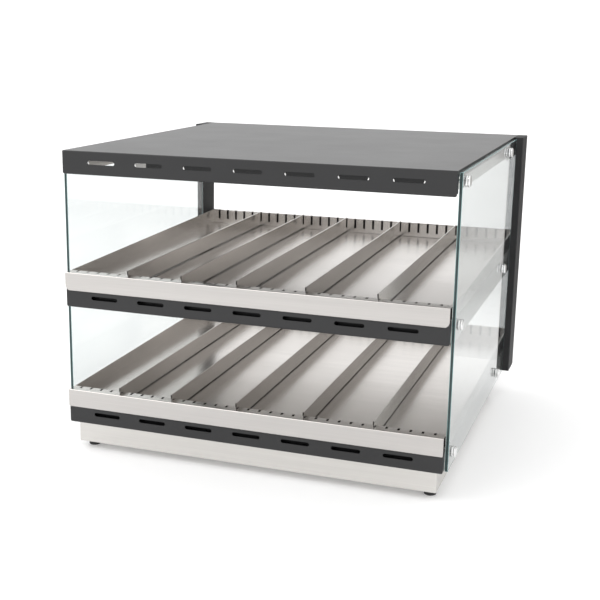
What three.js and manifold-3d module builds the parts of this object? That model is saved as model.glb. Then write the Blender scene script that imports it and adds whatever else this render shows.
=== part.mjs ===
// Heated two-level food merchandiser for a counter: a black canopy and two heated stainless
// shelves between side glasses, with lift-out lane dividers. Millimetres, +Z up, front towards -Y.
// The origin is the centre of the bounding box's bottom face.
import * as THREE from "three";
import { mergeVertices } from "three/addons/utils/BufferGeometryUtils.js";
import Module from "manifold-3d";

const wasm = await Module();
wasm.setup();

// Overall size
const WIDTH = 838; // over the rear posts
const DEPTH = 790; // front lip to the back of the posts
const HEIGHT = 634;
const GAP = 0.35; // between pieces that touch
const SHEET = 1.5; // sheet metal thickness

// Rear posts and side glass
const POST_WIDTH = 21.5;
const POST_DEPTH = 73;
const GLASS_THICKNESS = 6;
const GLASS_GAP = 0.95; // fascia end to glass
const GLASS_SETBACK = 16.9; // glass front edge behind the fascia
const GLASS_DROP = 4.3; // glass top edge below the canopy top

// Levels above the table
const FOOT_HEIGHT = 16;
const LOWER_LEVEL = 61.5; // bottom edge of the lower fascia
const UPPER_LEVEL = 312.4; // bottom edge of the middle fascia
const CANOPY_HEIGHT = 47.1;

// Fascia slots
const FASCIA_HEIGHT = 43;
const SLOT_COUNT = 7;
const SLOT_PITCH = 103.5;
const SLOT_LENGTH = 59;
const SLOT_HEIGHT = 8;
const SLOT_RISE = 22.3; // slot centre above a shelf fascia's bottom edge
const CANOPY_SLOT_RISE = 25;
const RETURN_DEPTH = 14; // folded-back flanges
const FASCIA_CORNER = 4;

// Heated trays
const LIP_PROUD = 4.7; // lip in front of the fascia
const LIP_HEIGHT = 38;
const LEDGE_DEPTH = 27;
const LEDGE_RISE = 25; // ledge above the tray floor
const TRAY_SLOPE = THREE.MathUtils.degToRad(0.6); // rise towards the back
const TRAY_REAR_RISE = 35; // side and rear wall height at the back
const REAR_CHANNEL = 8; // depth of the folded channel behind the rear wall
const COMB_PITCH = 23.6;
const COMB_SIDE_COUNT = 16; // comb slots on each side of the middle one
const COMB_SLOT = 4.2;
const COMB_NOTCH_DEPTH = 16;
const UPPER_LIP_CORNER = 12;
const LOWER_LIP_CORNER = 4;

// Lane dividers, placed by comb slot
const DIVIDER_HEIGHT = 37;
const DIVIDER_HEM = 3.2;
const DIVIDER_HEM_HEIGHT = 8;
const DIVIDER_REST = 0.5; // plate's bottom edge above the tray floor
const UPPER_DIVIDER_SLOTS = [-11, -6, -1, 5, 11];
const LOWER_DIVIDER_SLOTS = [-12, -7, -1, 5, 11];

// Glass standoffs
const CAP_RADIUS = 10.5;
const CAP_DEPTH = 9.5;
const BOLT_RADIUS = 3;
const BOLT_HOLE_RADIUS = 3.6;
const STANDOFF_FRONT = 45; // behind the fascia
const STANDOFF_REAR = 585;
const STANDOFF_RISE = 32; // above a shelf fascia's bottom edge
const CANOPY_STANDOFF_RISE = 24;

// Base
const BASE_WIDTH = 768.6;
const BASE_SETBACK = 14;
const BASE_DEPTH = 681;
const BASE_FLANGE = 34;
const FOOT_INSET_X = 17.5;
const FOOT_INSET_Y = 33;
const FOOT_RADIUS = 12.5;

// Controls on the back of the base
const PANEL_LEFT = 90;
const PANEL_WIDTH = 260;
const PANEL_HEIGHT = 37;
const PANEL_THICKNESS = 2;
const KNOB_SPACING = 70;
const KNOB_RADIUS = 15;
const KNOB_DEPTH = 14;
const SHAFT_RADIUS = 3;
const SHAFT_HOLE_RADIUS = 3.6;
const ROCKER_TILT = THREE.MathUtils.degToRad(10);
const GLAND_X = -300;
const GLAND_HOLE_RADIUS = 10.2;

// Canopy heater
const HEATER_HOUSING_WIDTH = 670;
const HEATER_HOUSING_SETBACK = 125;
const HEATER_HOUSING_DEPTH = 575;
const ELEMENT_RADIUS = 4;

// Worked out from the sizes above
const FRONT = -DEPTH / 2 + LIP_PROUD; // plane of the fascias
const BACK = DEPTH / 2;
const FASCIA_WIDTH = WIDTH - 2 * (POST_WIDTH + GAP);
const CANOPY_LEVEL = HEIGHT - CANOPY_HEIGHT;
const GLASS_INSIDE = FASCIA_WIDTH / 2 + GLASS_GAP;
const GLASS_OUTSIDE = GLASS_INSIDE + GLASS_THICKNESS;
const POST_FRONT = BACK - POST_DEPTH;
const INNER_HALF = FASCIA_WIDTH / 2 - 0.85; // trays and housings
const TRAY_DEPTH = DEPTH - 9;
const FLOOR_RISE = 48; // tray floor at the front above its fascia's bottom edge
const BASE_BACK = FRONT + BASE_SETBACK + BASE_DEPTH;
const CONTROL_HEIGHT = (FOOT_HEIGHT + LOWER_LEVEL) / 2;
const STANDOFF_YS = [FRONT + STANDOFF_FRONT, FRONT + STANDOFF_REAR];

const finishes = {
  black: { color: 0x3c3d40, roughness: 0.45, metalness: 0.2 },
  steel: { color: 0xc9c6c2, roughness: 0.35, metalness: 1 },
  polished: { color: 0xe2e2e2, roughness: 0.12, metalness: 1 },
  glass: { color: 0xdfeeea, roughness: 0.02, metalness: 0, transparent: true, opacity: 0.3 },
  rubber: { color: 0x1d1d1f, roughness: 0.8, metalness: 0 },
  plastic: { color: 0x161617, roughness: 0.4, metalness: 0 },
  lamp: { color: 0xc0281c, roughness: 0.2, metalness: 0 },
  element: { color: 0x6c6a66, roughness: 0.5, metalness: 0.8 },
  plate: { color: 0xb9bbbd, roughness: 0.5, metalness: 1 },
  wool: { color: 0xd8d2bd, roughness: 0.95, metalness: 0 },
  ceramic: { color: 0xe6dfd0, roughness: 0.6, metalness: 0 },
};

const cabinet = new THREE.Group();

function addPiece(name, geometry, finish, parent = cabinet) {
  const mesh = new THREE.Mesh(geometry, new THREE.MeshStandardMaterial(finishes[finish]));
  mesh.name = name;
  parent.add(mesh);
  return mesh;
}

// Geometry helpers

function box(x0, x1, y0, y1, z0, z1) {
  const geometry = new THREE.BoxGeometry(x1 - x0, y1 - y0, z1 - z0);
  return geometry.translate((x0 + x1) / 2, (y0 + y1) / 2, (z0 + z1) / 2);
}

// A cylinder along X, between two x values.
function barX(radius, x0, x1, y, z, sides = 20) {
  const geometry = new THREE.CylinderGeometry(radius, radius, Math.abs(x1 - x0), sides);
  return geometry.rotateZ(Math.PI / 2).translate((x0 + x1) / 2, y, z);
}

// A cylinder along Y, between two y values.
function barY(radius, y0, y1, x, z, sides = 20) {
  const geometry = new THREE.CylinderGeometry(radius, radius, Math.abs(y1 - y0), sides);
  return geometry.translate(x, (y0 + y1) / 2, z);
}

// An outline drawn in the XZ plane, extruded towards +Y from y0 to y1.
function panelXZ(shape, y0, y1) {
  const geometry = new THREE.ExtrudeGeometry(shape, {
    depth: y1 - y0,
    bevelEnabled: false,
    curveSegments: 8,
  });
  return geometry.rotateX(Math.PI / 2).translate(0, y1, 0);
}

// A polygon of [y, z] points, extruded along X from x0 to x1.
function slabYZ(points, x0, x1) {
  const shape = new THREE.Shape(points.map(([y, z]) => new THREE.Vector2(y, z)));
  const geometry = new THREE.ExtrudeGeometry(shape, { depth: x1 - x0, bevelEnabled: false });
  const axes = new THREE.Matrix4().makeBasis(
    new THREE.Vector3(0, 1, 0),
    new THREE.Vector3(0, 0, 1),
    new THREE.Vector3(1, 0, 0),
  );
  return geometry.applyMatrix4(axes).translate(x0, 0, 0);
}

function solidOf(geometry) {
  const bare = geometry.clone();
  bare.deleteAttribute("normal");
  bare.deleteAttribute("uv");
  const merged = mergeVertices(bare, 1e-4);
  return new wasm.Manifold(
    new wasm.Mesh({
      numProp: 3,
      vertProperties: new Float32Array(merged.attributes.position.array),
      triVerts: new Uint32Array(merged.index.array),
    }),
  );
}

function geometryOf(solid) {
  const mesh = solid.getMesh();
  const geometry = new THREE.BufferGeometry();
  geometry.setAttribute("position", new THREE.BufferAttribute(mesh.vertProperties, 3));
  geometry.setIndex(new THREE.BufferAttribute(mesh.triVerts, 1));
  geometry.computeVertexNormals();
  return geometry;
}

// Joins the first list of geometries and cuts the second list from the result.
function build(joined, cuts = []) {
  const body = joined.map(solidOf).reduce((sum, next) => sum.add(next));
  return geometryOf(cuts.map(solidOf).reduce((left, tool) => left.subtract(tool), body));
}

// Outlines in XZ

// A rectangle whose bottom corners are rounded.
function roundFooted(halfWidth, bottom, top, radius) {
  const shape = new THREE.Shape();
  shape.moveTo(-halfWidth, top);
  shape.lineTo(-halfWidth, bottom + radius);
  shape.absarc(-halfWidth + radius, bottom + radius, radius, Math.PI, 1.5 * Math.PI);
  shape.absarc(halfWidth - radius, bottom + radius, radius, 1.5 * Math.PI, 2 * Math.PI);
  shape.lineTo(halfWidth, top);
  shape.closePath();
  return shape;
}

function slotHole(x, z) {
  const radius = SLOT_HEIGHT / 2;
  const reach = SLOT_LENGTH / 2 - radius;
  const hole = new THREE.Path();
  hole.absarc(x + reach, z, radius, -Math.PI / 2, Math.PI / 2);
  hole.absarc(x - reach, z, radius, Math.PI / 2, 1.5 * Math.PI);
  hole.closePath();
  return hole;
}

function slottedOutline(bottom, top, slotHeight) {
  const shape = roundFooted(FASCIA_WIDTH / 2, bottom, top, FASCIA_CORNER);
  for (let i = 0; i < SLOT_COUNT; i++) {
    shape.holes.push(slotHole((i - (SLOT_COUNT - 1) / 2) * SLOT_PITCH, slotHeight));
  }
  return shape;
}

// A slotted front sheet with flanges folded back along its bottom and ends.
function fasciaPieces(bottom, top, slotHeight, front) {
  const half = FASCIA_WIDTH / 2;
  const back = front + RETURN_DEPTH;
  const inset = half - FASCIA_CORNER;
  return [
    panelXZ(slottedOutline(bottom, top, slotHeight), front, front + SHEET),
    box(-inset, inset, front, back, bottom, bottom + SHEET),
    ...[-1, 1].map((side) => {
      const edges = [side * half, side * (half - SHEET)].sort((a, b) => a - b);
      return box(edges[0], edges[1], front, back, bottom + FASCIA_CORNER, top);
    }),
  ];
}

// Standoff bolt positions on one side: [y, z] for each level
const standoffPlaces = [
  ["lower", LOWER_LEVEL + STANDOFF_RISE],
  ["upper", UPPER_LEVEL + STANDOFF_RISE],
  ["canopy", CANOPY_LEVEL + CANOPY_STANDOFF_RISE],
].flatMap(([level, z]) =>
  ["front", "rear"].map((end, i) => ({ level, end, y: STANDOFF_YS[i], z })),
);

function boltHoles(level) {
  const reach = FASCIA_WIDTH / 2 + GLASS_THICKNESS * 2;
  return standoffPlaces
    .filter((place) => place.level === level)
    .map(({ y, z }) => barX(BOLT_HOLE_RADIUS, -reach, reach, y, z));
}

// Canopy: a folded black cover, and a stainless heater housing hung under it

function makeCanopy() {
  const half = FASCIA_WIDTH / 2;
  const hemBottom = HEIGHT - 12;
  const tabHalf = 18;
  const sides = [-1, 1].flatMap((side) => {
    const [x0, x1] = [side * half, side * (half - SHEET)].sort((a, b) => a - b);
    const tabs = STANDOFF_YS.map((y) =>
      box(x0, x1, y - tabHalf, y + tabHalf, CANOPY_LEVEL + 6, hemBottom + 2),
    );
    const hem = box(x0, x1, FRONT + 2, BACK - SHEET / 2, hemBottom, HEIGHT - SHEET / 2);
    return [hem, ...tabs];
  });
  const slotHeight = CANOPY_LEVEL + CANOPY_SLOT_RISE;
  const rearFascia = panelXZ(
    roundFooted(half, CANOPY_LEVEL, HEIGHT, FASCIA_CORNER),
    BACK - SHEET,
    BACK,
  );
  const rearReturn = box(
    -half + FASCIA_CORNER,
    half - FASCIA_CORNER,
    BACK - RETURN_DEPTH,
    BACK,
    CANOPY_LEVEL,
    CANOPY_LEVEL + SHEET,
  );
  addPiece(
    "canopy_cover",
    build(
      [
        box(-half, half, FRONT, BACK, HEIGHT - SHEET, HEIGHT),
        ...fasciaPieces(CANOPY_LEVEL, HEIGHT, slotHeight, FRONT),
        ...sides,
        rearFascia,
        rearReturn,
      ],
      boltHoles("canopy"),
    ),
    "black",
  );
}

function makeCanopyHeater() {
  const half = HEATER_HOUSING_WIDTH / 2;
  const y0 = FRONT + HEATER_HOUSING_SETBACK;
  const y1 = y0 + HEATER_HOUSING_DEPTH;
  const top = HEIGHT - SHEET - 0.6;
  const bottom = CANOPY_LEVEL + 4;
  addPiece(
    "canopy_heater_housing",
    build(
      [box(-half, half, y0, y1, bottom, top)],
      [box(-half + SHEET, half - SHEET, y0 + SHEET, y1 - SHEET, bottom - 1, top - SHEET)],
    ),
    "steel",
  );

  // Each element is a hairpin: out along X, round a half circle and back.
  const z = (bottom + top) / 2 - 2;
  const reach = half - 60;
  const legSpacing = 90;
  const section = new THREE.Shape();
  section.absarc(0, 0, ELEMENT_RADIUS, 0, 2 * Math.PI);
  const centres = [y0 + HEATER_HOUSING_DEPTH * 0.27, y0 + HEATER_HOUSING_DEPTH * 0.73];
  ["front", "rear"].forEach((end, i) => {
    const y = centres[i];
    const path = new THREE.CurvePath();
    const left = new THREE.Vector3(-reach - 30, y - legSpacing / 2, z);
    const bend = new THREE.Vector3(reach - legSpacing / 2, y - legSpacing / 2, z);
    path.add(new THREE.LineCurve3(left, bend));
    const turn = [];
    for (let step = 0; step <= 8; step++) {
      const angle = -Math.PI / 2 + (step / 8) * Math.PI;
      const x = reach - legSpacing / 2 + (Math.cos(angle) * legSpacing) / 2;
      turn.push(new THREE.Vector3(x, y + (Math.sin(angle) * legSpacing) / 2, z));
    }
    path.add(new THREE.CatmullRomCurve3(turn));
    path.add(
      new THREE.LineCurve3(
        turn[turn.length - 1],
        new THREE.Vector3(-reach - 30, y + legSpacing / 2, z),
      ),
    );
    const element = new THREE.ExtrudeGeometry(section, {
      steps: 40,
      curveSegments: 4,
      extrudePath: path,
    });
    addPiece(`heater_element_${end}`, build([element]), "element");
  });

  // Ceramic-lined brackets that the elements' legs pass through
  const holes = centres.flatMap((y) => [y - legSpacing / 2, y + legSpacing / 2]);
  [-1, 1].forEach((side) => {
    const x = side * (reach - 120);
    addPiece(
      `element_bracket_${side < 0 ? "left" : "right"}`,
      build(
        [box(x - 1, x + 1, y0 + 20, y1 - 20, z - 12, top - SHEET - GAP)],
        holes.map((y) => barX(ELEMENT_RADIUS + 0.6, x - 3, x + 3, y, z, 16)),
      ),
      "steel",
    );
  });
}

// Shelves

const combSlots = [];
for (let i = -COMB_SIDE_COUNT; i <= COMB_SIDE_COUNT; i++) {
  combSlots.push(i * COMB_PITCH);
}

// In a tray's own frame y runs back from the lip and z up from the floor.
function trayGeometry(lipCorner) {
  const wide = FASCIA_WIDTH / 2;
  const rear = TRAY_DEPTH;
  const channelBack = rear - SHEET + REAR_CHANNEL;
  const lip = panelXZ(
    roundFooted(wide, LEDGE_RISE - LIP_HEIGHT, LEDGE_RISE, lipCorner),
    0,
    SHEET,
  );
  const wall = [
    [LEDGE_DEPTH - SHEET, -SHEET],
    [rear, -SHEET],
    [rear, TRAY_REAR_RISE],
    [LEDGE_DEPTH - SHEET, LEDGE_RISE],
  ];
  const joined = [
    lip,
    box(-wide, wide, 0, LEDGE_DEPTH, LEDGE_RISE - SHEET, LEDGE_RISE),
    box(-INNER_HALF, INNER_HALF, LEDGE_DEPTH - SHEET, LEDGE_DEPTH, -SHEET, LEDGE_RISE),
    box(-INNER_HALF, INNER_HALF, LEDGE_DEPTH - SHEET, rear, -SHEET, 0),
    slabYZ(wall, -INNER_HALF, -INNER_HALF + SHEET),
    slabYZ(wall, INNER_HALF - SHEET, INNER_HALF),
    box(-INNER_HALF, INNER_HALF, rear - SHEET, rear, -SHEET, TRAY_REAR_RISE),
    box(-INNER_HALF, INNER_HALF, rear - SHEET, channelBack, TRAY_REAR_RISE - SHEET, TRAY_REAR_RISE),
    box(-INNER_HALF, INNER_HALF, channelBack - SHEET, channelBack, -SHEET, TRAY_REAR_RISE),
  ];
  const cuts = combSlots.flatMap((x) => [
    box(
      x - COMB_SLOT / 2,
      x + COMB_SLOT / 2,
      LEDGE_DEPTH - COMB_NOTCH_DEPTH,
      LEDGE_DEPTH + 1,
      0.1,
      LEDGE_RISE + 1,
    ),
    box(
      x - COMB_SLOT / 2,
      x + COMB_SLOT / 2,
      rear - SHEET - 1,
      channelBack - SHEET - 0.5,
      0.1,
      TRAY_REAR_RISE + 1,
    ),
  ]);
  return build(joined, cuts);
}

function dividerGeometry() {
  const front = LEDGE_DEPTH - COMB_NOTCH_DEPTH + 1.2;
  const rear = TRAY_DEPTH + 3;
  const top = DIVIDER_HEIGHT;
  const plate = [
    [front, DIVIDER_REST],
    [rear, DIVIDER_REST],
    [rear, top - 6],
    [rear - 6, top],
    [front, top],
  ];
  const hemRear = TRAY_DEPTH - SHEET - 1;
  return build([
    slabYZ(plate, -SHEET / 2, SHEET / 2),
    box(
      -DIVIDER_HEM / 2,
      DIVIDER_HEM / 2,
      front,
      hemRear,
      top - DIVIDER_HEM_HEIGHT,
      top,
    ),
  ]);
}

// The pan that closes a shelf from below. Its rim follows the tray's slope.
function housingGeometry(level, levelName) {
  const y0 = FRONT + RETURN_DEPTH + 3;
  const y1 = -DEPTH / 2 + TRAY_DEPTH - 4;
  const bottom = level + 0.4;
  const rim = (y) =>
    level + FLOOR_RISE - SHEET - 0.8 + Math.tan(TRAY_SLOPE) * (y + DEPTH / 2);
  const outer = [
    [y0, bottom],
    [y1, bottom],
    [y1, rim(y1)],
    [y0, rim(y0)],
  ];
  const inner = [
    [y0 + SHEET, bottom + SHEET],
    [y1 - SHEET, bottom + SHEET],
    [y1 - SHEET, rim(y1) + 5],
    [y0 + SHEET, rim(y0) + 5],
  ];
  const half = INNER_HALF;
  return build(
    [slabYZ(outer, -half, half)],
    [slabYZ(inner, -half + SHEET, half - SHEET), ...boltHoles(levelName)],
  );
}

function makeShelf(levelName, level, dividerSlots, lipCorner) {
  addPiece(
    `${levelName}_fascia`,
    build(fasciaPieces(level, level + FASCIA_HEIGHT, level + SLOT_RISE, FRONT)),
    "black",
  );
  addPiece(`${levelName}_housing`, housingGeometry(level, levelName), "steel");

  const slope = new THREE.Group();
  slope.position.set(0, -DEPTH / 2 + GAP, level + FLOOR_RISE);
  slope.rotation.x = TRAY_SLOPE;
  cabinet.add(slope);
  addPiece(`${levelName}_tray`, trayGeometry(lipCorner), "steel", slope);
  addPiece(`${levelName}_heater_plate`, box(-340, 340, 70, 740, -4, -2), "plate", slope);
  addPiece(`${levelName}_insulation`, box(-350, 350, 60, 750, -20, -4.5), "wool", slope);
  dividerSlots.forEach((slot, i) => {
    const divider = addPiece(
      `${levelName}_divider_${i + 1}`,
      dividerGeometry(),
      "steel",
      slope,
    );
    divider.position.x = slot * COMB_PITCH;
  });
}

// Side glass, standoffs and rear posts

function makeSides() {
  const top = HEIGHT - GLASS_DROP;
  const y0 = FRONT + GLASS_SETBACK;
  const y1 = POST_FRONT - 0.5;
  const holes = ["lower", "upper", "canopy"].flatMap(boltHoles);
  const cap = new THREE.LatheGeometry(
    [
      new THREE.Vector2(0, 0),
      new THREE.Vector2(CAP_RADIUS, 0),
      new THREE.Vector2(CAP_RADIUS, CAP_DEPTH - 2),
      new THREE.Vector2(CAP_RADIUS - 0.8, CAP_DEPTH - 0.7),
      new THREE.Vector2(CAP_RADIUS - 2.4, CAP_DEPTH),
      new THREE.Vector2(0, CAP_DEPTH),
    ],
    24,
  );
  for (const side of [-1, 1]) {
    const sideName = side < 0 ? "left" : "right";
    const [x0, x1] = [side * GLASS_INSIDE, side * GLASS_OUTSIDE].sort((a, b) => a - b);
    addPiece(
      `glass_${sideName}`,
      build([box(x0, x1, y0, y1, LOWER_LEVEL, top)], holes),
      "glass",
    );

    for (const { level, end, y, z } of standoffPlaces) {
      const outer = cap
        .clone()
        .rotateZ((-side * Math.PI) / 2)
        .translate(side * (GLASS_OUTSIDE + GAP), y, z);
      const inside = side * (INNER_HALF - 12);
      const bolt = barX(BOLT_RADIUS, inside, side * (GLASS_OUTSIDE + 2), y, z, 16);
      addPiece(`standoff_${level}_${end}_${sideName}`, build([outer, bolt]), "polished");
    }

    const outside = (side * WIDTH) / 2;
    const inside = side * (WIDTH / 2 - POST_WIDTH);
    const [p0, p1] = [outside, inside].sort((a, b) => a - b);
    addPiece(
      `rear_post_${sideName}`,
      build(
        [box(p0, p1, POST_FRONT, BACK, LOWER_LEVEL + 0.4, HEIGHT)],
        [
          box(
            p0 + SHEET,
            p1 - SHEET,
            POST_FRONT + SHEET,
            BACK - SHEET,
            LOWER_LEVEL - 1,
            HEIGHT - SHEET,
          ),
        ],
      ),
      "black",
    );
  }
}

// Base with feet

function makeBase() {
  const half = BASE_WIDTH / 2;
  const y0 = FRONT + BASE_SETBACK;
  const y1 = BASE_BACK;
  const top = LOWER_LEVEL - GAP;
  const feet = [-1, 1].flatMap((side) =>
    [y0 + FOOT_INSET_Y, y1 - FOOT_INSET_Y].map((y) => [side * (half - FOOT_INSET_X), y]),
  );
  const stud = (x, y) => {
    const geometry = new THREE.CylinderGeometry(BOLT_HOLE_RADIUS, BOLT_HOLE_RADIUS, 8, 16);
    return geometry.rotateX(Math.PI / 2).translate(x, y, FOOT_HEIGHT);
  };
  addPiece(
    "base_plinth",
    build(
      [box(-half, half, y0, y1, FOOT_HEIGHT, top)],
      [
        box(
          -half + SHEET,
          half - SHEET,
          y0 + SHEET,
          y1 - SHEET,
          FOOT_HEIGHT + SHEET,
          top + 1,
        ),
        box(
          -half + BASE_FLANGE,
          half - BASE_FLANGE,
          y0 + BASE_FLANGE,
          y1 - BASE_FLANGE,
          FOOT_HEIGHT - 1,
          top,
        ),
        box(
          PANEL_LEFT + 4,
          PANEL_LEFT + PANEL_WIDTH - 4,
          y1 - 4,
          y1 + 1,
          CONTROL_HEIGHT - PANEL_HEIGHT / 2 + 4,
          CONTROL_HEIGHT + PANEL_HEIGHT / 2 - 4,
        ),
        barY(GLAND_HOLE_RADIUS, y1 - 4, y1 + 1, GLAND_X, CONTROL_HEIGHT),
        ...feet.map(([x, y]) => stud(x, y)),
      ],
    ),
    "steel",
  );
  const plateReach = half - BASE_FLANGE + 3;
  addPiece(
    "base_bottom_plate",
    box(
      -plateReach,
      plateReach,
      y0 + BASE_FLANGE - 3,
      y1 - BASE_FLANGE + 3,
      FOOT_HEIGHT + SHEET + GAP,
      FOOT_HEIGHT + 2 * SHEET + GAP,
    ),
    "steel",
  );

  const profile = [
    new THREE.Vector2(0, 0),
    new THREE.Vector2(FOOT_RADIUS - 2, 0),
    new THREE.Vector2(FOOT_RADIUS - 1, 1),
    new THREE.Vector2(FOOT_RADIUS, FOOT_HEIGHT - GAP),
    new THREE.Vector2(BOLT_RADIUS, FOOT_HEIGHT - GAP),
    new THREE.Vector2(BOLT_RADIUS, FOOT_HEIGHT + 8),
    new THREE.Vector2(0, FOOT_HEIGHT + 8),
  ];
  const names = ["front_left", "rear_left", "front_right", "rear_right"];
  feet.forEach(([x, y], i) => {
    const foot = new THREE.LatheGeometry(profile, 24).rotateX(Math.PI / 2);
    addPiece(`foot_${names[i]}`, build([foot]), "rubber").position.set(x, y, 0);
  });
}

// Controls: two thermostats, a power switch and a lamp on a panel at the back of the base

function makeControls() {
  const z = CONTROL_HEIGHT;
  const panelFront = BASE_BACK + GAP;
  const panelBack = panelFront + PANEL_THICKNESS;
  const knobXs = [PANEL_LEFT + 50, PANEL_LEFT + 50 + KNOB_SPACING];
  const switchX = knobXs[1] + 70;
  const lampX = switchX + 45;
  const switchHalfWidth = 8.5;
  const switchHalfHeight = 11.5;
  addPiece(
    "control_panel",
    build(
      [
        box(
          PANEL_LEFT,
          PANEL_LEFT + PANEL_WIDTH,
          panelFront,
          panelBack,
          z - PANEL_HEIGHT / 2,
          z + PANEL_HEIGHT / 2,
        ),
      ],
      [
        ...knobXs.map((x) => barY(SHAFT_HOLE_RADIUS, panelFront - 1, panelBack + 1, x, z)),
        barY(5.3, panelFront - 1, panelBack + 1, lampX, z),
        box(
          switchX - switchHalfWidth - GAP,
          switchX + switchHalfWidth + GAP,
          panelFront - 1,
          panelBack + 1,
          z - switchHalfHeight - GAP,
          z + switchHalfHeight + GAP,
        ),
      ],
    ),
    "black",
  );

  // A knob: a tapered disc with a grip ridge, and the shaft that it turns
  const knobBase = panelBack + 1;
  const knobProfile = [
    new THREE.Vector2(0, 0),
    new THREE.Vector2(KNOB_RADIUS, 0),
    new THREE.Vector2(KNOB_RADIUS, 3),
    new THREE.Vector2(KNOB_RADIUS - 1.5, KNOB_DEPTH - 4),
    new THREE.Vector2(0, KNOB_DEPTH - 4),
  ];
  ["upper", "lower"].forEach((levelName, i) => {
    const x = knobXs[i];
    const disc = new THREE.LatheGeometry(knobProfile, 28).translate(0, knobBase, 0);
    const ridge = box(-2.6, 2.6, knobBase + 5, knobBase + KNOB_DEPTH, -12.5, 12.5);
    const shaft = barY(SHAFT_RADIUS, panelFront - 14, knobBase + 5, 0, 0, 16);
    const knob = addPiece(
      `thermostat_knob_${levelName}`,
      build([disc, ridge, shaft]),
      "plastic",
    );
    knob.position.set(x, 0, z);
    addPiece(
      `thermostat_${levelName}`,
      build(
        [box(x - 20, x + 20, panelFront - 36, panelFront - 4, z - 13, z + 13)],
        [barY(SHAFT_HOLE_RADIUS, panelFront - 22, panelFront, x, z)],
      ),
      "ceramic",
    );
  });

  const recessHalfWidth = 6.6;
  const recessHalfHeight = 9.6;
  addPiece(
    "switch_body",
    build(
      [
        box(
          switchX - switchHalfWidth,
          switchX + switchHalfWidth,
          panelFront - 16,
          panelBack + 1,
          z - switchHalfHeight,
          z + switchHalfHeight,
        ),
        box(
          switchX - switchHalfWidth - 2.5,
          switchX + switchHalfWidth + 2.5,
          panelBack + GAP,
          panelBack + 2,
          z - switchHalfHeight - 2.5,
          z + switchHalfHeight + 2.5,
        ),
      ],
      [
        box(
          switchX - recessHalfWidth,
          switchX + recessHalfWidth,
          panelFront - 7,
          panelBack + 3,
          z - recessHalfHeight,
          z + recessHalfHeight,
        ),
      ],
    ),
    "plastic",
  );
  const rocker = [
    [-3.5, -7],
    [1.5, -8.6],
    [4, -8.4],
    [2.6, 0],
    [4, 8.4],
    [1.5, 8.6],
    [-3.5, 7],
  ];
  const rockerHalfWidth = 6.1;
  const rockerPiece = addPiece(
    "switch_rocker",
    build([slabYZ(rocker, -rockerHalfWidth, rockerHalfWidth)]),
    "plastic",
  );
  rockerPiece.position.set(switchX, panelBack - 1, z);
  rockerPiece.rotation.x = ROCKER_TILT;

  const lens = new THREE.LatheGeometry(
    [
      new THREE.Vector2(0, -8),
      new THREE.Vector2(4.9, -8),
      new THREE.Vector2(4.9, PANEL_THICKNESS + GAP),
      new THREE.Vector2(6.5, PANEL_THICKNESS + GAP),
      new THREE.Vector2(6.2, PANEL_THICKNESS + 2),
      new THREE.Vector2(4, PANEL_THICKNESS + 3.4),
      new THREE.Vector2(0, PANEL_THICKNESS + 4),
    ],
    24,
  );
  addPiece("indicator_lamp", build([lens]), "lamp").position.set(lampX, panelFront, z);

  // Cable gland: a tail through the wall, a flange and a tapered nose with the cable's bore
  const gland = new THREE.LatheGeometry(
    [
      new THREE.Vector2(0, -12),
      new THREE.Vector2(9.8, -12),
      new THREE.Vector2(9.8, GAP),
      new THREE.Vector2(14, GAP),
      new THREE.Vector2(14, 6),
      new THREE.Vector2(11, 8),
      new THREE.Vector2(8.5, 18),
      new THREE.Vector2(0, 18),
    ],
    24,
  );
  addPiece(
    "cable_gland",
    build([gland], [barY(4.5, -13, 19, 0, 0)]),
    "plastic",
  ).position.set(GLAND_X, BASE_BACK, z);
  addPiece(
    "terminal_block",
    box(GLAND_X - 30, GLAND_X + 30, BASE_BACK - 60, BASE_BACK - 36, z - 12, z + 8),
    "ceramic",
  );
}

makeCanopy();
makeCanopyHeater();
makeShelf("upper", UPPER_LEVEL, UPPER_DIVIDER_SLOTS, UPPER_LIP_CORNER);
makeShelf("lower", LOWER_LEVEL, LOWER_DIVIDER_SLOTS, LOWER_LIP_CORNER);
makeSides();
makeBase();
makeControls();

export default cabinet;
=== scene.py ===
"""Heated two-level food display cabinet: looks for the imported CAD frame. Metres, +Z up, front towards -Y."""
import math

import bmesh
import bpy
from mathutils import Matrix, Vector


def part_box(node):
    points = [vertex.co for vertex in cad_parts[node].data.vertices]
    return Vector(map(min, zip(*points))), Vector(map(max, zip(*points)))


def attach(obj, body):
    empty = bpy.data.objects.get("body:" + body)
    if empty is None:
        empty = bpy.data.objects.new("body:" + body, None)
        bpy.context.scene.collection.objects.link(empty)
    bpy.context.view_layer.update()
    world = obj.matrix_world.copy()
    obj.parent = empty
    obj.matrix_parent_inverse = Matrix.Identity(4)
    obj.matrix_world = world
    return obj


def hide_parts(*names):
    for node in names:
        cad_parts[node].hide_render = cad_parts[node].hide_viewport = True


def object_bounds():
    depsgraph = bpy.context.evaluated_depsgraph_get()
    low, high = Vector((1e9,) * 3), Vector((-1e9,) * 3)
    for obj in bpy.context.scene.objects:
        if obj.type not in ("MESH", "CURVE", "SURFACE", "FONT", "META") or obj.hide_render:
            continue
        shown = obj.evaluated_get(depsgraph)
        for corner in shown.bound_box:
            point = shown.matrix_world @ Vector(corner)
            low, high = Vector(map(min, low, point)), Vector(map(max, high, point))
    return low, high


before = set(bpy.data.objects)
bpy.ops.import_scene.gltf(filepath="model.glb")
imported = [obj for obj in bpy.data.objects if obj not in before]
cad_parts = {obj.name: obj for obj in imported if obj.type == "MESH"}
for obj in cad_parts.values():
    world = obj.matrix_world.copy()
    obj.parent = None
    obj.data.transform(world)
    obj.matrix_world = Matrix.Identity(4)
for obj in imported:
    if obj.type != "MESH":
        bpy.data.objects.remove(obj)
cad_low, cad_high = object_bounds()
MM = 0.001
SCENE = bpy.context.scene
BODY = "cabinet"

# ---------------------------------------------------------------- sizes, from the CAD nodes or named here

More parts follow.
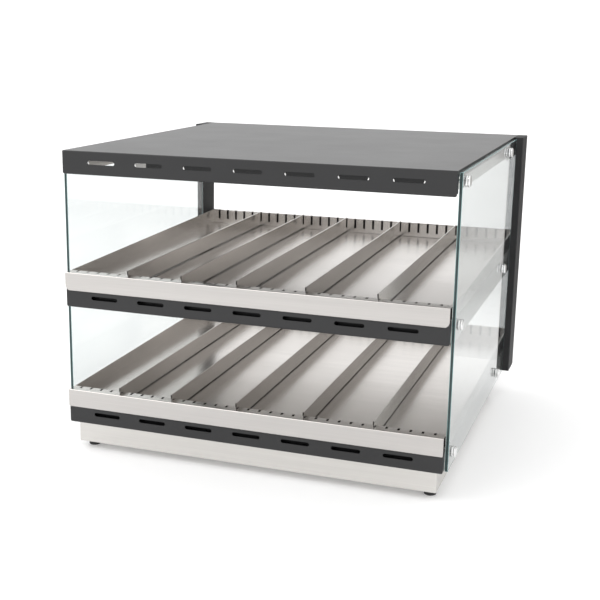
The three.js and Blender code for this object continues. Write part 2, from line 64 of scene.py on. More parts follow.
top_lo, top_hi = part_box("canopy_cover")
base_lo, base_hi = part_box("base_plinth")
HALF = top_hi.x
FRONT = top_lo.y
BACK = top_hi.y
LIP_FRONT = cad_low.y
SHEET = 1.5 * MM
LEVELS = {"upper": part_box("upper_fascia")[0].z, "lower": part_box("lower_fascia")[0].z}

BEND = 1.6 * MM  # middle radius of the folds in the black sheets
RETURN_DEPTH = 14 * MM  # folded-back flanges
FASCIA_HEIGHT = 43 * MM
FASCIA_CORNER = 4 * MM
SLOT_LENGTH = 59 * MM
SLOT_HEIGHT = 8 * MM
SLOT_RISE = 22.3 * MM  # slot centre above a shelf fascia's bottom edge
CANOPY_SLOT_RISE = 25 * MM
SLOT_XS = [(i - 3) * 103.5 * MM for i in range(7)]

SLOPE = math.radians(0.6)
TRAY_DEPTH = 781 * MM
FLOOR_RISE = 48 * MM  # tray floor at the front above its fascia's bottom edge
INNER_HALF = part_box("upper_housing")[1].x
LIP_HEIGHT = 38 * MM
LIP_RETURN = 4 * MM
LEDGE_RISE = 25 * MM  # ledge above the tray floor
LEDGE_DEPTH = 27 * MM
REAR_RISE = 35 * MM  # side and rear wall height at the back
REAR_CHANNEL = 5.75 * MM  # depth of the fold behind the rear wall
COMB_PITCH = 23.6 * MM
COMB_SIDE_COUNT = 16  # comb slots on each side of the middle one
DIVIDER_HEIGHT = 37 * MM
DIVIDER_SLOTS = {"upper": (-11, -6, -1, 5, 11), "lower": (-12, -7, -1, 5, 11)}


# ---------------------------------------------------------------- node helpers

class Nodes:
    """A material's node tree, with short calls for the nodes used here."""

    def __init__(self, name):
        self.material = bpy.data.materials.new(name)
        self.material.use_nodes = True
        self.tree = self.material.node_tree
        self.bsdf = self.tree.nodes["Principled BSDF"]
        self.place = self.add("ShaderNodeTexCoord").outputs["Object"]

    def add(self, kind, **inputs):
        node = self.tree.nodes.new(kind)
        for key, value in inputs.items():
            self.set(node, key, value)
        return node

    def set(self, node, key, value):
        target = node.inputs[key.replace("_", " ")]
        if isinstance(value, bpy.types.NodeSocket):
            self.tree.links.new(value, target)
        else:
            target.default_value = value

    def shader(self, **inputs):
        for key, value in inputs.items():
            self.set(self.bsdf, key, value)

    def stretched(self, scale):
        node = self.add("ShaderNodeMapping", Vector=self.place)
        node.inputs["Scale"].default_value = scale
        return node.outputs["Vector"]

    def noise(self, vector, scale, detail=3.0, roughness=0.55):
        return self.add("ShaderNodeTexNoise", Vector=vector, Scale=scale, Detail=detail,
                        Roughness=roughness).outputs["Fac"]

    def span(self, value, low, high, from_low=0.3, from_high=0.7):
        node = self.add("ShaderNodeMapRange", Value=value)
        limits = {"From Min": from_low, "From Max": from_high, "To Min": low, "To Max": high}
        for key, number in limits.items():
            node.inputs[key].default_value = number
        return node.outputs["Result"]

    def mix(self, factor, first, second):
        node = self.tree.nodes.new("ShaderNodeMix")
        node.data_type = "RGBA"
        self.tree.links.new(factor, node.inputs["Factor"])
        for socket, value in ((node.inputs[6], first), (node.inputs[7], second)):
            if isinstance(value, bpy.types.NodeSocket):
                self.tree.links.new(value, socket)
            else:
                socket.default_value = (*value, 1.0)
        return node.outputs[2]

    def bump(self, height, distance, strength=1.0):
        node = self.add("ShaderNodeBump", Height=height, Strength=strength, Distance=distance)
        return node.outputs["Normal"]


# ---------------------------------------------------------------- materials

def brushed_steel(name, grain, roughness, color):
    """Stainless sheet whose brush lines run along grain, 0 for X, 1 for Y, 2 for Z."""
    n = Nodes(name)
    long_scale = [1.0, 1.0, 1.0]
    long_scale[grain] = 0.012
    fine = n.noise(n.stretched(long_scale), 420.0, 2.0, 0.5)
    broad = n.noise(n.stretched(long_scale), 90.0, 3.0, 0.5)
    cloud = n.noise(n.place, 5.0, 2.0)
    darker = tuple(c * 0.93 for c in color)
    streaks = n.add("ShaderNodeMath", Value=fine)
    streaks.operation = "ADD"
    n.tree.links.new(broad, streaks.inputs[1])
    n.shader(
        Base_Color=n.mix(n.span(streaks.outputs[0], 0.0, 1.0, 0.7, 1.3), darker, color),
        Metallic=1.0,
        Roughness=n.span(cloud, roughness - 0.02, roughness + 0.03),
    )
    # Reflections stretch across the brush lines.
    across = n.add("ShaderNodeVectorMath")
    across.operation = "CROSS_PRODUCT"
    across.inputs[0].default_value = [float(axis == grain) for axis in range(3)]
    n.tree.links.new(n.add("ShaderNodeNewGeometry").outputs["Normal"], across.inputs[1])
    n.shader(Tangent=across.outputs["Vector"], Anisotropic=0.5)
    return n.material


def powder_coat(name, color, roughness):
    """Fine-textured satin powder coat with faint dust in its colour."""
    n = Nodes(name)
    peel = n.noise(n.place, 900.0, 2.0)
    cloud = n.noise(n.place, 9.0, 4.0)
    lighter = tuple(c * 1.12 + 0.002 for c in color)
    n.shader(
        Base_Color=n.mix(n.span(cloud, 0.0, 1.0), color, lighter),
        Roughness=n.span(cloud, roughness - 0.01, roughness + 0.02),
        Normal=n.bump(peel, 0.00006, 0.4),
    )
    n.bsdf.inputs["Specular IOR Level"].default_value = 0.5
    return n.material


def polished(name):
    n = Nodes(name)
    rings = n.noise(n.stretched((900.0, 60.0, 60.0)), 3.0, 2.0)
    n.shader(
        Base_Color=n.mix(n.span(rings, 0.0, 1.0), (0.72, 0.72, 0.72), (0.86, 0.86, 0.86)),
        Metallic=1.0,
        Roughness=n.span(rings, 0.09, 0.16),
    )
    return n.material


def moulded(name, color, roughness, grain=1400.0, depth=0.00005):
    n = Nodes(name)
    texture = n.noise(n.place, grain, 2.0)
    cloud = n.noise(n.place, 60.0, 3.0)
    lighter = tuple(c * 1.3 + 0.006 for c in color)
    n.shader(
        Base_Color=n.mix(n.span(cloud, 0.0, 1.0), color, lighter),
        Roughness=n.span(cloud, roughness - 0.05, roughness + 0.05),
        Normal=n.bump(texture, depth, 0.5),
    )
    return n.material


def clear_glass(name):
    n = Nodes(name)
    wipe = n.noise(n.stretched((1.0, 2.0, 5.0)), 6.0, 3.0)
    n.shader(
        Base_Color=n.mix(n.span(wipe, 0.0, 1.0), (0.85, 0.882, 0.88), (0.86, 0.892, 0.89)),
        Roughness=n.span(wipe, 0.0, 0.012),
        Transmission_Weight=1.0,
        IOR=1.5,
    )
    return n.material


def ground_edge(name):
    """The green of a glass sheet seen along its thickness, with a satin ground surface."""
    n = Nodes(name)
    streak = n.noise(n.stretched((900.0, 14.0, 14.0)), 3.0, 3.0)
    n.shader(
        Base_Color=n.mix(n.span(streak, 0.0, 1.0), (0.012, 0.026, 0.028), (0.035, 0.07, 0.07)),
        Roughness=n.span(streak, 0.12, 0.3),
        IOR=1.5,
    )
    n.bsdf.inputs["Transmission Weight"].default_value = 0.25
    return n.material


def sheathed(name):
    """Heat-tinted metal tube of a heater element."""
    n = Nodes(name)
    cloud = n.noise(n.place, 40.0, 4.0)
    n.shader(
        Base_Color=n.mix(n.span(cloud, 0.0, 1.0), (0.12, 0.10, 0.085), (0.26, 0.23, 0.2)),
        Metallic=0.8,
        Roughness=n.span(cloud, 0.38, 0.6),
    )
    return n.material


def wool(name):
    n = Nodes(name)
    fibre = n.noise(n.stretched((1.0, 1.0, 4.0)), 260.0, 5.0, 0.7)
    n.shader(
        Base_Color=n.mix(n.span(fibre, 0.0, 1.0), (0.5, 0.45, 0.33), (0.8, 0.75, 0.62)),
        Roughness=n.span(fibre, 0.85, 1.0),
        Normal=n.bump(fibre, 0.001, 0.8),
    )
    return n.material


def lens(name):
    n = Nodes(name)
    facets = n.add("ShaderNodeTexVoronoi", Vector=n.place, Scale=900.0).outputs["Distance"]
    n.shader(
        Base_Color=n.mix(n.span(facets, 0.0, 1.0, 0.0, 0.8), (0.55, 0.03, 0.015), (0.75, 0.07, 0.03)),
        Roughness=n.span(facets, 0.12, 0.25, 0.0, 0.8),
        Normal=n.bump(facets, 0.0003, 0.6),
    )
    n.bsdf.inputs["Transmission Weight"].default_value = 0.3
    return n.material


def painted_marks(name):
    n = Nodes(name)
    cloud = n.noise(n.place, 300.0, 3.0)
    n.shader(
        Base_Color=n.mix(n.span(cloud, 0.0, 1.0), (0.74, 0.74, 0.72), (0.84, 0.84, 0.82)),
        Roughness=n.span(cloud, 0.45, 0.6),
    )
    return n.material


STEEL_X = brushed_steel("steel grain across", 0, 0.23, (0.75, 0.72, 0.692))
STEEL_Y = brushed_steel("steel grain along", 1, 0.21, (0.74, 0.71, 0.68))
# The front lip's steel is a darker copy of the tray steel: painted shade.
STEEL_LIP_PAINTED_SHADE = brushed_steel("steel of the front lip, painted shade", 0, 0.3, (0.55, 0.53, 0.512))
STEEL_BASE = brushed_steel("steel of the base", 0, 0.34, (0.66, 0.642, 0.615))
STEEL_DULL = brushed_steel("steel inner sheet", 0, 0.38, (0.5, 0.49, 0.475))
# Bright steel for slot ends and rims, lighter than the sheet: painted glint.
STEEL_CUT_GLINT = brushed_steel("steel cut edge with painted glint", 2, 0.3, (0.9, 0.89, 0.88))
# Near-black steel is painted shadow, on faces in gaps and hollows that lie in shade.
STEEL_PAINTED_SHADOW = brushed_steel("painted shadow on steel", 1, 0.5, (0.05, 0.045, 0.042))
COAT = powder_coat("black powder coat", (0.011, 0.011, 0.0118), 0.36)
COAT_MATT = powder_coat("black powder coat, post", (0.011, 0.011, 0.0118), 0.62)
CHROME = polished("polished stainless")
GLASS = clear_glass("clear glass")
EDGE = ground_edge("glass ground edge")
ARRIS = moulded("glass arris", (0.2, 0.36, 0.36), 0.2)
RUBBER = moulded("foot rubber", (0.018, 0.018, 0.019), 0.72, 800.0, 0.0001)
PLASTIC = moulded("black moulded plastic", (0.014, 0.014, 0.015), 0.4)
CERAMIC = moulded("cream moulded body", (0.66, 0.6, 0.48), 0.5, 500.0)
ELEMENT = sheathed("heater sheath")
WOOL = wool("insulation mat")
LENS = lens("red lens")
MARKS = painted_marks("white dial marks")


# ---------------------------------------------------------------- mesh helpers

def mesh_of(name, vertices, faces):
    mesh = bpy.data.meshes.new(name)
    mesh.from_pydata([tuple(v) for v in vertices], [], faces)
    work = bmesh.new()
    work.from_mesh(mesh)
    bmesh.ops.recalc_face_normals(work, faces=work.faces)
    work.to_mesh(mesh)
    work.free()
    return mesh


def object_of(name, mesh, material=None):
    made = bpy.data.objects.new(name, mesh)
    SCENE.collection.objects.link(made)
    if material is not None:
        made.data.materials.append(material)
    return made


def prism(name, outline, axis, start, end):
    """A closed outline of 2-D points extruded along an axis. Points are (y, z), (x, z) or (x, y)."""
    def place(point, along):
        if axis == 0:
            return (along, point[0], point[1])
        if axis == 1:
            return (point[0], along, point[1])
        return (point[0], point[1], along)

    count = len(outline)
    vertices = [place(p, start) for p in outline] + [place(p, end) for p in outline]
    faces = [list(range(count)), list(range(count, 2 * count))]
    faces += [[i, (i + 1) % count, count + (i + 1) % count, count + i] for i in range(count)]
    return mesh_of(name, vertices, faces)


def block(name, low, high):
    outline = [(low[1], low[2]), (high[1], low[2]), (high[1], high[2]), (low[1], high[2])]
    return prism(name, outline, 0, low[0], high[0])


def filleted(points, radius, steps=6):
    """The polyline with each inner corner replaced by an arc."""
    made = [Vector(points[0])]
    for before, corner, after in zip(points, points[1:], points[2:]):
        a, b, c = Vector(before), Vector(corner), Vector(after)
        into, out = (a - b).normalized(), (c - b).normalized()
        half = into.angle(out) / 2
        reach = min(radius / math.tan(half), (a - b).length * 0.49, (c - b).length * 0.49)
        bend = reach * math.tan(half)
        centre = b + (into + out).normalized() * (bend / math.sin(half))
        first, last = b + into * reach - centre, b + out * reach - centre
        sweep = first.angle_signed(last)
        for i in range(steps + 1):
            turn = -sweep * i / steps
            cos, sin = math.cos(turn), math.sin(turn)
            made.append(centre + Vector((first.x * cos - first.y * sin, first.x * sin + first.y * cos)))
    made.append(Vector(points[-1]))
    return made


def bent_outline(points, thickness, radius, steps=6):
    """Cross-section of a folded sheet whose middle follows points."""
    line = filleted(points, radius, steps)
    left, right = [], []
    for i, point in enumerate(line):
        ahead = line[min(i + 1, len(line) - 1)] - point
        behind = point - line[max(i - 1, 0)]
        if ahead.length < 1e-9:
            ahead = behind
        if behind.length < 1e-9:
            behind = ahead
        direction = (ahead.normalized() + behind.normalized()).normalized()
        normal = Vector((-direction.y, direction.x)) * (thickness / 2)
        left.append(point + normal)
        right.append(point - normal)
    return left + right[::-1]


def rounded_rectangle(low, high, radius):
    """Outline in X and Y of the box from low to high, with round corners."""
    outline = []
    for cx, cy, start in ((high.x - radius, high.y - radius, 0), (low.x + radius, high.y - radius, 90),
                          (low.x + radius, low.y + radius, 180), (high.x - radius, low.y + radius, 270)):
        for i in range(7):
            t = math.radians(start + 15 * i)
            outline.append((cx + radius * math.cos(t), cy + radius * math.sin(t)))
    return outline


def ring_faces(rings, steps):
    """Faces between rings of vertices, each of as many steps, with a lid on the first and the last."""
    faces = []
    for ring in range(rings - 1):
        for i in range(steps):
            j = (i + 1) % steps
            faces.append([ring * steps + i, ring * steps + j, (ring + 1) * steps + j, (ring + 1) * steps + i])
    return faces + [list(range(steps)), [(rings - 1) * steps + i for i in range(steps)]]


def tube(name, profile, axis, centre, steps=40):
    """A profile of (radius, distance along axis) pairs turned round an axis through centre."""
    vertices = []
    for r, along in profile:
        for i in range(steps):
            turn = 2 * math.pi * i / steps
            a, b = r * math.cos(turn), r * math.sin(turn)
            offset = [(along, a, b), (b, along, a), (a, b, along)][axis]
            vertices.append(Vector(centre) + Vector(offset))
    return mesh_of(name, vertices, ring_faces(len(profile), steps))


def joined(name, meshes):
    """One mesh holding several closed ones."""
    work = bmesh.new()
    for mesh in meshes:
        work.from_mesh(mesh)
    made = bpy.data.meshes.new(name)
    work.to_mesh(made)
    work.free()
    return made


def apply_modifiers(made):
    graph = bpy.context.evaluated_depsgraph_get()
    final = bpy.data.meshes.new_from_object(
        made.evaluated_get(graph), preserve_all_data_layers=True, depsgraph=graph)
    made.modifiers.clear()
    made.data = final


def boolean(mesh, tools, operation):
    """mesh with each tool mesh joined to it or cut from it."""
    target = object_of("work", mesh)
    for tool in tools:
        helper = object_of("tool", tool)
        modifier = target.modifiers.new("b", "BOOLEAN")
        modifier.solver = "EXACT"
        modifier.operation = operation
        modifier.object = helper
        apply_modifiers(target)
        bpy.data.objects.remove(helper)
    final = target.data
    bpy.data.objects.remove(target)
    return final


def cut(mesh, *tools):
    return boolean(mesh, tools, "DIFFERENCE")


def union(mesh, *tools):
    return boolean(mesh, tools, "UNION")


def finished(name, mesh, material, replaces=(), body=BODY, edge=0.35 * MM, angle=32, moved=None,
             second=None, third=None):
    """Makes the piece: rounded edges, smooth bends and flat faces, riding on its body.

    second and third are each a material and a test of centre and normal that picks the faces it covers,
    before moved is applied.
    """
    made = object_of(name, mesh)
    extra = [pair for pair in (second, third) if pair]
    picked = [[p.index for p in mesh.polygons if test(p.center, p.normal)] for _, test in extra]
    made.data.materials.clear()
    made.data.materials.append(material)
    for number, (other, _) in enumerate(extra):
        made.data.materials.append(other)
        for index in picked[number]:
            made.data.polygons[index].material_index = number + 1
    if moved is not None:
        made.data.transform(moved)
    for polygon in made.data.polygons:
        polygon.use_smooth = True
    if edge:
        bevel = made.modifiers.new("edges", "BEVEL")
        bevel.width = edge
        bevel.segments = 2
        bevel.limit_method = "ANGLE"
        bevel.angle_limit = math.radians(angle)
        bevel.use_clamp_overlap = True
    normals = made.modifiers.new("normals", "WEIGHTED_NORMAL")
    normals.weight = 80
    normals.keep_sharp = True
    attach(made, body)
    if replaces:
        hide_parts(*replaces)
    return made


def oblong(x, z, length, height, y0, y1, steps=10):
    """A round-ended slot cutter along Y."""
    r = height / 2
    reach = length / 2 - r
    outline = [(x + reach + r * math.cos(t), z + r * math.sin(t))
               for t in (math.pi * (i / steps - 0.5) for i in range(steps + 1))]
    outline += [(x - reach + r * math.cos(t), z + r * math.sin(t))
                for t in (math.pi * (i / steps + 0.5) for i in range(steps + 1))]
    return prism("slot", outline, 1, y0, y1)


def corner_cutters(half, bottom, radius, y0, y1, steps=8):
    """Cutters that round the two lower corners of a front sheet."""
    made = []
    for side in (-1, 1):
        outline = [(side * (half + MM), bottom - MM), (side * (half + MM), bottom + radius)]
        outline += [(side * (half - radius + radius * math.cos(t)), bottom + radius - radius * math.sin(t))
                    for t in (math.pi / 2 * i / steps for i in range(steps + 1))]
        outline += [(side * (half - radius), bottom - MM)]
        made.append(prism("corner", outline, 1, y0, y1))
    return made


def slots(z, y0, y1):
    return joined("slots", [oblong(x, z, SLOT_LENGTH, SLOT_HEIGHT, y0, y1) for x in SLOT_XS])


# ---------------------------------------------------------------- canopy

def make_canopy():
    top, bottom = top_hi.z, top_lo.z
    t = SHEET
    slot_z = bottom + CANOPY_SLOT_RISE
    section = bent_outline(
        [(FRONT + RETURN_DEPTH, bottom + t / 2), (FRONT + t / 2, bottom + t / 2),
         (FRONT + t / 2, top - t / 2), (BACK - t / 2, top - t / 2),
         (BACK - t / 2, bottom + t / 2), (BACK - RETURN_DEPTH, bottom + t / 2)],
        t, BEND)
    cover = prism("cover", section, 0, -HALF, HALF)
    cover = cut(cover, slots(slot_z, FRONT - 5 * MM, FRONT + 5 * MM),
                *corner_cutters(HALF, bottom, FASCIA_CORNER, FRONT - 2 * MM, FRONT + 20 * MM))
    # The slot end walls take the bright cut-edge steel, which adds painted glints.
    finished("canopy_sheet", cover, COAT, ["canopy_cover"], edge=0.45 * MM,
             second=(STEEL_CUT_GLINT, lambda c, n: abs(n.x) > 0.5 and abs(c.x) < HALF - 9 * MM))
    for number, x in enumerate(SLOT_XS):
        # The two slots at the right have a painted glint at both ends, the others at the left end only.
        sides = ((-1, "left"), (1, "right")) if number >= 5 else ((-1, "left"),)
        for side, label in sides:
            make_slot_glint(f"slot_glint_{number + 1}_{label}", x, slot_z, side)
    for side, label in ((-1, "left"), (1, "right")):
        make_canopy_side(side, label)


def make_slot_glint(name, x, z, side):
    """A crescent of bright bare metal inside a slot's round end: a painted glint."""
    reach = (SLOT_LENGTH - SLOT_HEIGHT) / 2
    outer, inner = 4.05 * MM, 2.2 * MM
    arc = [math.radians(-62 + 14 * i) for i in range(7)]
    rim = [(x + side * (reach + r * math.cos(t)), z + r * math.sin(t))
           for r, turns in ((outer, arc), (inner, arc[::-1])) for t in turns]
    finished(name, prism("rim", rim, 1, FRONT + 0.3 * MM, FRONT + 1.3 * MM), STEEL_CUT_GLINT, edge=0.1 * MM)


def make_canopy_side(side, label):
    """The narrow flange with its tabs for the standoffs, and the light panel behind the glass."""
    top, bottom = top_hi.z, top_lo.z
    ys = [sum(c.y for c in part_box(f"standoff_canopy_{end}_left")) / 2 for end in ("front", "rear")]
    bolt_z = sum(c.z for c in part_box("standoff_canopy_front_left")) / 2
    x0, x1 = sorted((side * (HALF - 0.05 * MM), side * (HALF - SHEET)))
    flange = block("flange", (x0, FRONT + 2.2 * MM, top - 12 * MM), (x1, BACK - 2.2 * MM, top - 1.6 * MM))
    tabs = [block("tab", (x0, ys[0] - 8 * MM, bottom + 14 * MM), (x1, ys[0] + 8 * MM, top - 4 * MM)),
            block("tab", (x0, ys[1] - 8 * MM, bottom + 6 * MM), (x1, BACK - 60 * MM, top - 4 * MM))]
    end_low, end_high = bottom + 5 * MM, top - 1.7 * MM
    ends = [block("end", (x0, FRONT + 2 * MM, end_low), (x1, FRONT + RETURN_DEPTH, end_high)),
            block("end", (x0, BACK - RETURN_DEPTH, end_low), (x1, BACK - 2 * MM, end_high))]
    holes = [tube("hole", [(3.6 * MM, -5 * MM), (3.6 * MM, 5 * MM)], 0, (side * HALF, y, bolt_z), 24)
             for y in ys]
    finished(f"canopy_flange_{label}", cut(union(flange, *tabs, *ends), *holes), COAT)
    x0, x1 = sorted((side * (HALF - 14.4 * MM), side * (HALF - 15.6 * MM)))
    panel = block("panel", (x0, FRONT + 18 * MM, bottom + 1.5 * MM), (x1, BACK - 76 * MM, top - 2 * MM))
    finished(f"canopy_side_panel_{label}", panel, STEEL_BASE)


def make_canopy_heater():
    for node in ("canopy_heater_housing", "element_bracket_left", "element_bracket_right"):
        dress(node, STEEL_DULL)
    low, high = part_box("canopy_heater_housing")
    t = 1.2 * MM
    section = bent_outline(
        [(low.y + 20 * MM, low.z - t), (low.y - t, low.z - t), (low.y - t, high.z - t)], t, 2 * MM)
    # A black sheet in front of the housing, behind the slots, is painted shade: it darkens the inside seen
    # through the slots, from 62 mm in at the left.
    shade_sheet = prism("shade_sheet", section, 0, low.x + 62 * MM, high.x + 30 * MM)
    finished("canopy_front_shade_sheet", shade_sheet, COAT)
    for node in ("heater_element_front", "heater_element_rear"):
        dress(node, ELEMENT, smooth=True)


def dress(node, material, smooth=False, edge=0.3 * MM, second=None):
    """Gives a CAD node that keeps its shape its material and, unless it is smooth, rounded edges.

    second is a material and a test of world centre and normal that picks the faces it covers.
    """
    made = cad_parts[node]
    made.data.materials.clear()
    made.data.materials.append(material)
    if second:
        made.data.materials.append(second[0])
        for polygon in made.data.polygons:
            if second[1](made.matrix_world @ polygon.center, polygon.normal):
                polygon.material_index = 1
    for polygon in made.data.polygons:
        polygon.use_smooth = True
    weld = made.modifiers.new("weld", "WELD")
    weld.merge_threshold = 0.00001
    if smooth:
        return made
    flat = made.modifiers.new("flat", "DECIMATE")
    flat.decimate_type = "DISSOLVE"
    flat.angle_limit = math.radians(1)
    bevel = made.modifiers.new("edges", "BEVEL")
    bevel.width = edge
    bevel.segments = 2
    bevel.limit_method = "ANGLE"
    bevel.angle_limit = math.radians(32)
    normals = made.modifiers.new("normals", "WEIGHTED_NORMAL")
    normals.weight = 80
    return made


# ---------------------------------------------------------------- shelves

def make_shelf(name, lip_corner):
    make_fascia(name)
    # Black coat on the housing's front face, seen through the fascia slots, is painted shade.
    dress(f"{name}_housing", STEEL_DULL, edge=0.5 * MM, second=(COAT, lambda c, n: n.y < -0.9 and c.y < 0))
    dress(f"{name}_heater_plate", STEEL_DULL)
    dress(f"{name}_insulation", WOOL)
    place = Matrix.Translation((0, LIP_FRONT + 0.35 * MM, LEVELS[name] + FLOOR_RISE)) \
        @ Matrix.Rotation(SLOPE, 4, "X")
    make_tray(name, lip_corner, place)
    for i, comb_slot in enumerate(DIVIDER_SLOTS[name]):
        make_divider(name, i + 1, comb_slot * COMB_PITCH, place)


def make_fascia(name):
    level = LEVELS[name]
    t = SHEET
    top = level + FASCIA_HEIGHT
    section = bent_outline(
        [(FRONT + RETURN_DEPTH, level + t / 2), (FRONT + t / 2, level + t / 2), (FRONT + t / 2, top)],
        t, BEND)
    sheet = prism("fascia", section, 0, -HALF, HALF)
    sheet = cut(sheet, slots(level + SLOT_RISE, FRONT - 5 * MM, FRONT + 5 * MM),
                *corner_cutters(HALF, level, FASCIA_CORNER, FRONT - 2 * MM, FRONT + 20 * MM))
    finished(f"{name}_front_fascia", sheet, COAT, [f"{name}_fascia"], edge=0.45 * MM)
    for side, label in ((-1, "left"), (1, "right")):
        x0, x1 = sorted((side * (HALF - 0.05 * MM), side * (HALF - t)))
        end = block("end", (x0, FRONT + 2 * MM, level + 5 * MM), (x1, FRONT + RETURN_DEPTH, top))
        finished(f"{name}_fascia_return_{label}", end, COAT)


def comb_cutters():
    """Notches in the tray's ledge, and slots in its rear wall, at every comb place."""
    comb = []
    for i in range(-COMB_SIDE_COUNT, COMB_SIDE_COUNT + 1):
        x = i * COMB_PITCH
        comb.append(block("notch", (x - 2.4 * MM, LEDGE_DEPTH - 13 * MM, LEDGE_RISE - 6 * MM),
                          (x + 2.4 * MM, LEDGE_DEPTH - 2.2 * MM, LEDGE_RISE + MM)))
        comb.append(block("notch", (x - 2.7 * MM, TRAY_DEPTH - 2.5 * MM, 11 * MM),
                          (x + 2.7 * MM, TRAY_DEPTH + 4.5 * MM, 36 * MM)))
    return joined("comb", comb)


def make_tray(name, lip_corner, place):
    """The pan, one sheet folded from front lip to rear channel, and its two side walls."""
    t = SHEET
    ledge, depth, rear = LEDGE_RISE, LEDGE_DEPTH, TRAY_DEPTH
    lip_bottom = ledge - LIP_HEIGHT
    lip = [(t / 2 + LIP_RETURN, lip_bottom + t / 2), (t / 2, lip_bottom + t / 2), (t / 2, ledge - t / 2)]
    section = bent_outline(
        lip + [(depth - t / 2, ledge - t / 2), (depth - t / 2, -t / 2), (rear - t / 2, -t / 2),
               (rear - t / 2, REAR_RISE - t / 2), (rear + REAR_CHANNEL, REAR_RISE - t / 2),
               (rear + REAR_CHANNEL, -t)],
        t, 1.5 * MM)
    pan = prism("pan", section, 0, -INNER_HALF, INNER_HALF)
    section = bent_outline(lip + [(depth - 3 * MM, ledge - t / 2)], t, 1.5 * MM)
    ends = [prism("lip end", section, 0, *sorted((side * (INNER_HALF - 3 * MM), side * HALF)))
            for side in (-1, 1)]
    pan = cut(union(pan, *ends), comb_cutters(), *corner_cutters(HALF, lip_bottom, lip_corner, -MM, 10 * MM))

    def in_shadow(c, n):
        """The faces given painted shadow: the channel behind the rear slots, the ledge's underside and the
        riser.
        """
        return (c.y > rear + 4 * MM and n.y < -0.9 and c.z < 32 * MM
                or n.z < -0.9 and MM < c.y < depth
                or n.y < -0.9 and depth - 2 * MM < c.y < depth)

    # The lip's front faces take the darker lip steel, which is painted shade.
    finished(f"{name}_tray_pan", pan, STEEL_X, [f"{name}_tray"], edge=0.3 * MM, moved=place,
             second=(STEEL_PAINTED_SHADOW, in_shadow), third=(STEEL_LIP_PAINTED_SHADE, lambda c, n: n.y < -0.9 and c.y < 2 * MM))

    for side, label in ((-1, "left"), (1, "right")):
        x = side * (INNER_HALF - t / 2)
        back = rear - 0.2 * MM
        wall = [(depth, -0.4 * MM), (back, -0.4 * MM), (back, REAR_RISE), (depth, ledge + 0.6 * MM)]
        plate = prism("wall", wall, 0, x - t / 2, x + t / 2)
        hem = [(depth, ledge - 6.5 * MM), (back, REAR_RISE - 7 * MM), (back, REAR_RISE),
               (depth, ledge + 0.6 * MM)]
        inner = side * (INNER_HALF - t - 1.3 * MM)
        fold = prism("hem", hem, 0, *sorted((inner, side * (INNER_HALF - t / 2))))
        finished(f"{name}_tray_side_{label}", union(plate, fold), STEEL_Y, edge=0.4 * MM, moved=place)


def make_divider(name, number, x, place):
    """A lane divider: a plate whose top edge is folded back on itself."""
    depth, rear = LEDGE_DEPTH, TRAY_DEPTH
    top, leaf, r = DIVIDER_HEIGHT, 8.5 * MM, 1.4 * MM
    right, left = x + 0.75 * MM, x + 0.75 * MM - 2 * r
    # The point at 2.4 mm marks the top of the painted shadow strip at the foot.
    outline = [(right, 0.5 * MM), (right, 2.4 * MM)]
    outline += [(right - r + r * math.cos(t), top - r + r * math.sin(t))
                for t in (math.pi * i / 10 for i in range(11))]
    outline += [(left, top - leaf), (left + 1.1 * MM, top - leaf), (left + 1.1 * MM, top - 1.6 * MM),
                (right - 1.35 * MM, top - 1.6 * MM), (right - 1.35 * MM, 0.5 * MM)]
    front = depth - 14.8 * MM
    plate = prism("divider", outline, 1, front, rear + 3 * MM)
    # Cut away under the ledge, but for the tab that drops into a comb slot, and below the rear slot.
    x0, x1 = x - 5 * MM, x + 5 * MM
    plate = cut(plate, block("front", (x0, front - MM, -MM), (x1, depth + 0.4 * MM, 20 * MM)),
                block("front", (x0, front - MM, -MM), (x1, depth - 11 * MM, 25.3 * MM)),
                block("front", (x0, depth - 4 * MM, -MM), (x1, depth + 0.4 * MM, 25.3 * MM)),
                block("rear", (x0, rear - 2 * MM, -MM), (x1, rear + 4 * MM, 12 * MM)))
    # The front faces and the lowest 2.4 mm get painted shadow: a dark line at the foot and a shaded front end.
    finished(f"{name}_lane_plate_{number}", plate, STEEL_Y, [f"{name}_divider_{number}"],
             body=f"{name}_lane_divider_{number}", edge=0.2 * MM, angle=40, moved=place,
             second=(STEEL_PAINTED_SHADOW, lambda c, n: n.y < -0.9 or c.z < 2.4 * MM))


# ---------------------------------------------------------------- glass, standoffs and posts

def make_glass(label):
    low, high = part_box(f"glass_{label}")
    pane = block("pane", low, high)
    holes = []
    for level in ("lower", "upper", "canopy"):
        for end in ("front", "rear"):
            a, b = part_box(f"standoff_{level}_{end}_{label}")
            centre = ((low.x + high.x) / 2, (a.y + b.y) / 2, (a.z + b.z) / 2)
            holes.append(tube("hole", [(4.2 * MM, -9 * MM), (4.2 * MM, 9 * MM)], 0, centre, 28))
    made = finished(f"side_glass_{label}", cut(pane, joined("holes", holes)), GLASS,
                    [f"glass_{label}"], edge=0, second=(EDGE, lambda c, n: abs(n.x) < 0.5))
    made.data.materials.append(ARRIS)
    for polygon in made.data.polygons:
        polygon.use_smooth = False
    bevel = made.modifiers.new("arris", "BEVEL")
    bevel.width = 0.7 * MM
    bevel.segments = 1
    bevel.limit_method = "ANGLE"
    bevel.material = 2


